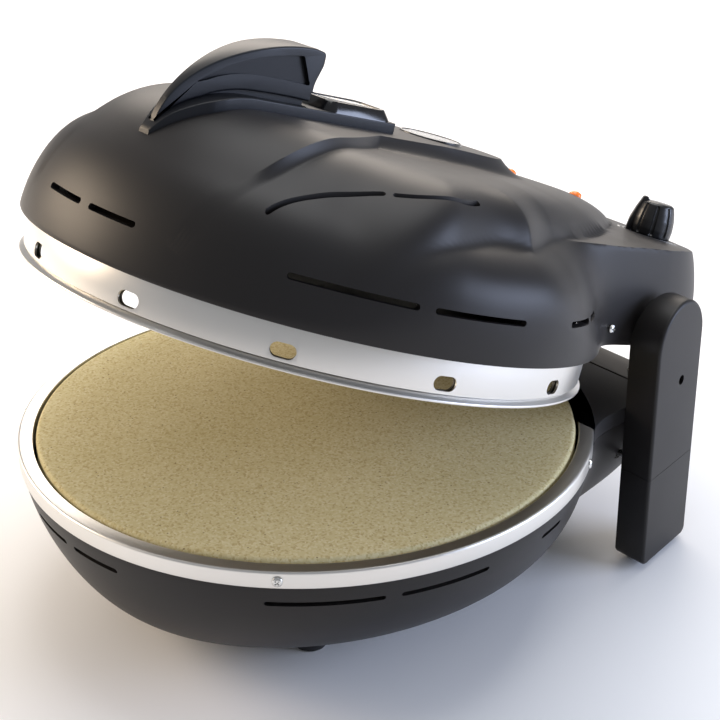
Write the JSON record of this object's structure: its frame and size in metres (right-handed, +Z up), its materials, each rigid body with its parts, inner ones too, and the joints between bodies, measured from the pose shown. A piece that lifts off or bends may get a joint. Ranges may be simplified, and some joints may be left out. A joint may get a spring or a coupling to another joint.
{
  "type": "electric pizza maker",
  "caption": "Round countertop pizza maker with a baking stone, a domed lid hinged on two side arms, a fin handle and a dial.",
  "frame": {"origin": "centre of the footprint's bounding box, on the table surface, with the lid open as at rest", "axes": "+Z up; -Y is the front, where the handle is; +Y is the hinge side; +X is to the right seen from the front"},
  "size_m": [0.3284, 0.4158, 0.3264],
  "materials": {
    "charcoal_plastic": "matt moulded",
    "deck_plastic": "matt moulded",
    "satin_steel": "satin",
    "screw_steel": "bright",
    "aluminised_steel": "rolled",
    "element_sheath": "oxidised",
    "zinc_steel": "zinc plated",
    "ceramic_white": "fired",
    "bush_plastic": "natural",
    "black_plastic": "moulded",
    "foot_rubber": "matt",
    "cordierite": "fired, speckled",
    "handle_plastic": "fine satin",
    "gloss_black": "polished",
    "window_glass": "clear",
    "gauge_face": "satin",
    "amber_lens": "translucent",
    "dial_plastic": "ribbed"
  },
  "bodies": {
    "base": {"base_shell": "charcoal_plastic", "base_ring": "satin_steel", "base_ring_screws": "screw_steel", "base_deck": "deck_plastic", "deck_screws": "screw_steel", "heat_pan": "aluminised_steel", "stone_rests": "aluminised_steel", "lower_element": "element_sheath", "lower_element_clips": "zinc_steel", "terminal_block": "ceramic_white", "cord_gland": "black_plastic", "front_feet": "foot_rubber", "arm_right": "charcoal_plastic", "arm_left": "charcoal_plastic", "arm_right_foot": "charcoal_plastic", "arm_left_foot": "charcoal_plastic", "arm_pads": "foot_rubber", "arm_screws": "screw_steel", "hinge_pin_right": "screw_steel", "hinge_pin_left": "screw_steel"},
    "stone": {"pizza_stone": "cordierite"},
    "lid": {"lid_shell": "charcoal_plastic", "lid_rear_cover": "charcoal_plastic", "lid_band": "satin_steel", "lid_flange": "satin_steel", "lid_reflector": "aluminised_steel", "upper_element": "element_sheath", "upper_element_clips": "zinc_steel", "hinge_bracket_right": "zinc_steel", "hinge_bracket_left": "zinc_steel", "hinge_bush_right": "bush_plastic", "hinge_bush_left": "bush_plastic", "lid_screws": "screw_steel", "handle_plate": "handle_plastic", "handle_fin": "handle_plastic", "window_bezel": "gloss_black", "window_glass": "window_glass", "gauge_rim": "gloss_black", "gauge_disc": "gauge_face", "indicator_lamps": "amber_lens", "thermostat": "ceramic_white", "dial_base": "charcoal_plastic"},
    "dial": {"dial_knob": "dial_plastic", "dial_spindle": "screw_steel"}
  },
  "joints": [
    {"name": "lid_hinge", "type": "hinge", "parent": "base", "child": "lid", "pos_m": [0, 0.14075, 0.1415], "axis": [-1, 0, 0], "range_deg": [-19.8, 55]},
    {"name": "stone_lift", "type": "slide", "parent": "base", "child": "stone", "axis": [0, 0, 1], "range_m": [0, 0.008]},
    {"name": "dial_turn", "type": "hinge", "parent": "lid", "child": "dial", "pos_m": [0.054, 0.18505, 0.1686], "axis": [0, 0.3387, 0.9409], "range_deg": [0, 300]}
  ]
}
